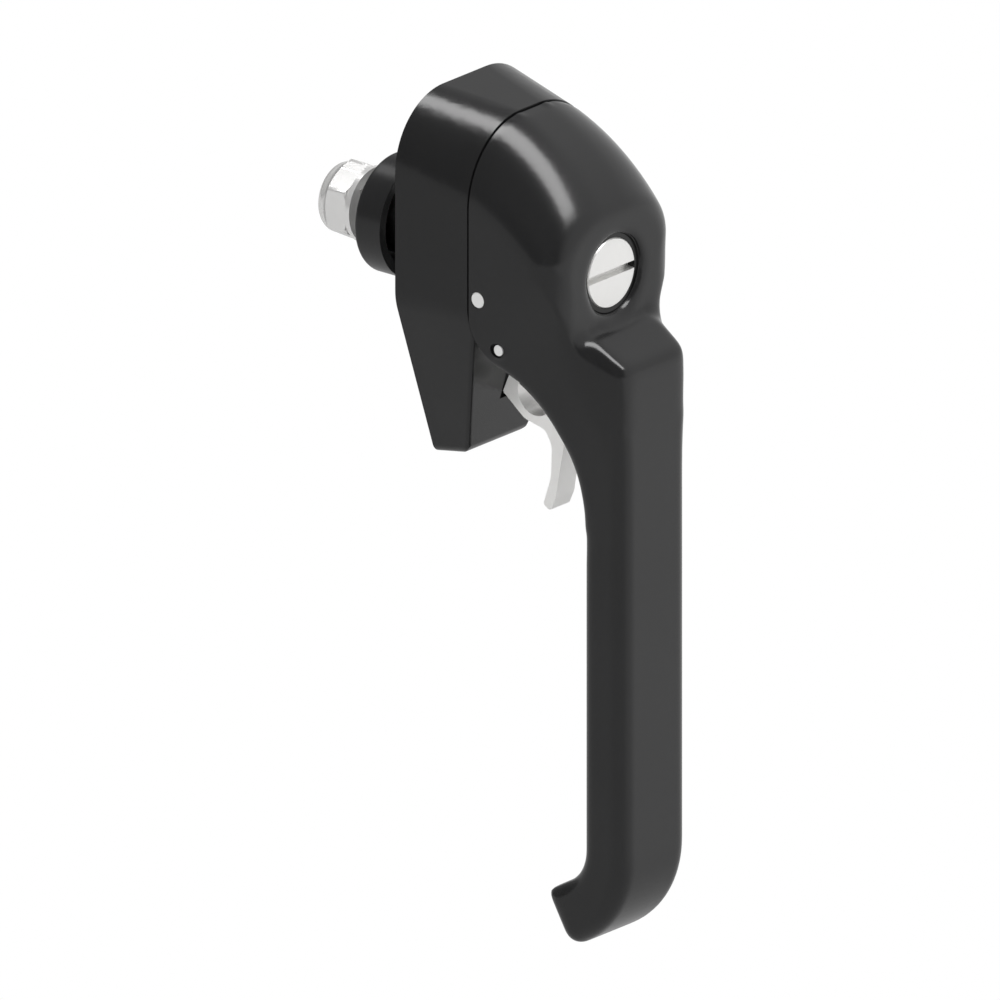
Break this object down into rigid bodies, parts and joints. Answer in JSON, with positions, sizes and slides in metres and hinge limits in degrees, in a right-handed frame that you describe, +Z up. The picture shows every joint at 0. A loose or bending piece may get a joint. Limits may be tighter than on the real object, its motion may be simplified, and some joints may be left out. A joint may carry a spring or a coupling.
{
  "type": "l-handle lock",
  "caption": "Black quarter-turn L-handle lock for a door, with a padlockable trigger, a slotted lock insert, and a square spindle with cup, washer and nut for a cam.",
  "frame": {"origin": "on the spindle's axis at the door's outer face, midway between the two fixing holes", "axes": "+Z up along the closed handle, grip hanging down; -Y out of the door towards the hand; +X to the right seen from outside"},
  "size_m": [0.0382, 0.0734, 0.1538],
  "materials": {
    "base_coat": "satin black powder coat",
    "handle_coat": "satin black powder coat",
    "trigger_plate": "bright zinc plate",
    "insert_plate": "satin nickel plate",
    "sleeve_dark": "blackened",
    "spindle_steel": "zinc plated",
    "nut_plate": "bright zinc plate",
    "pin_steel": "coated with the handle",
    "spring_steel": "plain",
    "cup_black": "satin black",
    "gasket_rubber": "matte",
    "bush_plastic": "matte",
    "nylon": "matte"
  },
  "bodies": {
    "base": {"base_housing": "base_coat", "base_gasket": "gasket_rubber", "spindle_bush": "bush_plastic", "thrust_washer": "bush_plastic", "clip_washer": "spindle_steel"},
    "handle": {"handle_casting": "handle_coat", "drive_plate": "spindle_steel", "spindle": "spindle_steel", "spindle_seal": "gasket_rubber", "spindle_cross_pin": "pin_steel", "retaining_clip": "spring_steel", "guide_cup": "cup_black", "cam_washer": "nut_plate", "lock_nut": "nut_plate", "nut_insert": "nylon", "insert_sleeve": "sleeve_dark", "trigger_pivot_pin": "pin_steel", "trigger_spring": "spring_steel", "bolt_spring": "spring_steel"},
    "trigger": {"trigger": "trigger_plate"},
    "insert": {"lock_insert": "insert_plate", "insert_seal": "gasket_rubber", "lock_cam": "nut_plate", "cam_screw": "nut_plate"},
    "bolt": {"lock_bolt": "spindle_steel"}
  },
  "joints": [
    {"name": "handle_turn", "type": "hinge", "parent": "base", "child": "handle", "pos_m": [0, 0, 0], "axis": [0, -1, 0], "range_deg": [0, 90]},
    {"name": "trigger_pull", "type": "hinge", "parent": "handle", "child": "trigger", "pos_m": [0, -0.0205, -0.0135], "axis": [-1, 0, 0], "range_deg": [-8, 18], "stiffness_Nm_per_rad": 0.1, "deforming": ["trigger_spring"]},
    {"name": "insert_turn", "type": "hinge", "parent": "handle", "child": "insert", "pos_m": [0, 0, 0], "axis": [0, -1, 0], "range_deg": [0, 90]},
    {"name": "bolt_slide", "type": "slide", "parent": "handle", "child": "bolt", "axis": [0, 1, 0], "range_m": [0, 0.003]}
  ],
  "couplings": [
    {"joint": "bolt_slide", "follows": "insert_turn", "m_per_rad": 0.0019}
  ]
}
